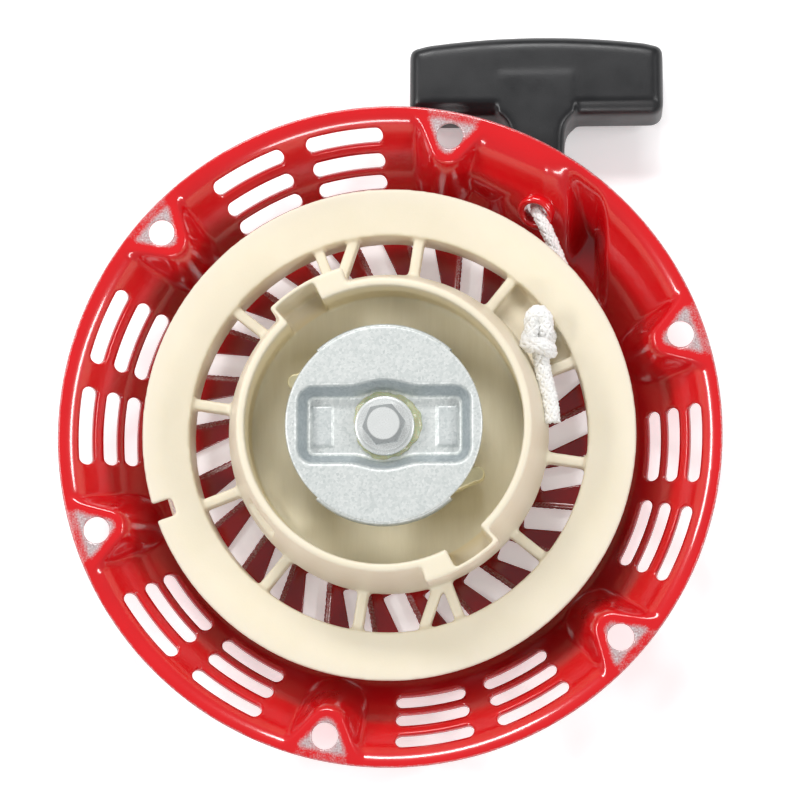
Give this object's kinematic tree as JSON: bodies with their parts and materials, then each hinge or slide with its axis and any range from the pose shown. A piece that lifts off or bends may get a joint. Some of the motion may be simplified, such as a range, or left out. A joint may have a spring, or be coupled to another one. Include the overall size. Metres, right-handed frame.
{
  "type": "recoil starter",
  "caption": "Pull-rope recoil starter: red pressed steel case with vents and bolt lands, moulded reel, friction plate with pawls, rope and T-grip.",
  "frame": {"origin": "centre of the bolt circle, on the flange face that seats on the engine", "axes": "+Z along the crankshaft towards the engine, +Y the way the grip is pulled, +X to the right seen from the engine"},
  "size_m": [0.227, 0.2538, 0.0575],
  "materials": {
    "enamel": "glossy red baked enamel on pressed steel",
    "nylon": "natural cream nylon, moulded, satin",
    "zinc": "galvanised pressed steel, fine spangle",
    "bolt_steel": "bright zinc-plated steel",
    "pawl_steel": "yellow zinc-plated steel",
    "spring_steel": "blued spring steel, oiled",
    "post_steel": "turned plain steel",
    "rope": "braided white nylon rope with grey flecks",
    "grip": "moulded black satin rubbery plastic"
  },
  "bodies": {
    "root": {"case": "enamel", "rope_eyelet": "enamel", "post_plate": "post_steel", "center_post": "post_steel", "bolt_washer": "bolt_steel", "center_bolt": "bolt_steel", "rope_lead": "rope"},
    "reel": {"reel_hub": "nylon", "reel_spokes": "nylon", "reel_rim": "nylon", "recoil_spring": "spring_steel", "rope_coil": "rope", "rope_knot": "rope", "rope_tail": "rope", "pawl_spring_a": "spring_steel", "pawl_spring_b": "spring_steel"},
    "plate": {"friction_plate": "zinc", "friction_spring": "spring_steel"},
    "pawl_a": {"pawl_a": "pawl_steel"},
    "pawl_b": {"pawl_b": "pawl_steel"},
    "grip": {"grip": "grip", "grip_washer": "bolt_steel", "rope_grip_knot": "rope", "rope_outer": "rope"}
  },
  "joints": [
    {"name": "reel_spin", "type": "hinge", "parent": "root", "child": "reel", "pos_m": [0, 0, 0], "axis": [0, 0, 1], "range_deg": [0, 1040], "stiffness_Nm_per_rad": 0.1, "springref_deg": -458.37},
    {"name": "grip_pull", "type": "slide", "parent": "root", "child": "grip", "axis": [0, 1, 0], "range_m": [0, 1.39]},
    {"name": "plate_turn", "type": "hinge", "parent": "reel", "child": "plate", "pos_m": [0, 0, 0], "axis": [0, 0, 1], "range_deg": [-35, 0], "stiffness_Nm_per_rad": 0.01, "springref_deg": 28.65},
    {"name": "pawl_a_swing", "type": "hinge", "parent": "reel", "child": "pawl_a", "pos_m": [-0.006, 0.0235, 0.01], "axis": [0, 0, 1], "range_deg": [-30, 0]},
    {"name": "pawl_b_swing", "type": "hinge", "parent": "reel", "child": "pawl_b", "pos_m": [0.006, -0.0235, 0.01], "axis": [0, 0, 1], "range_deg": [-30, 0]}
  ],
  "couplings": [
    {"joint": "grip_pull", "follows": "reel_spin", "m_per_rad": 0.0764},
    {"joint": "pawl_a_swing", "follows": "plate_turn", "ratio": 0.857},
    {"joint": "pawl_b_swing", "follows": "plate_turn", "ratio": 0.857}
  ]
}
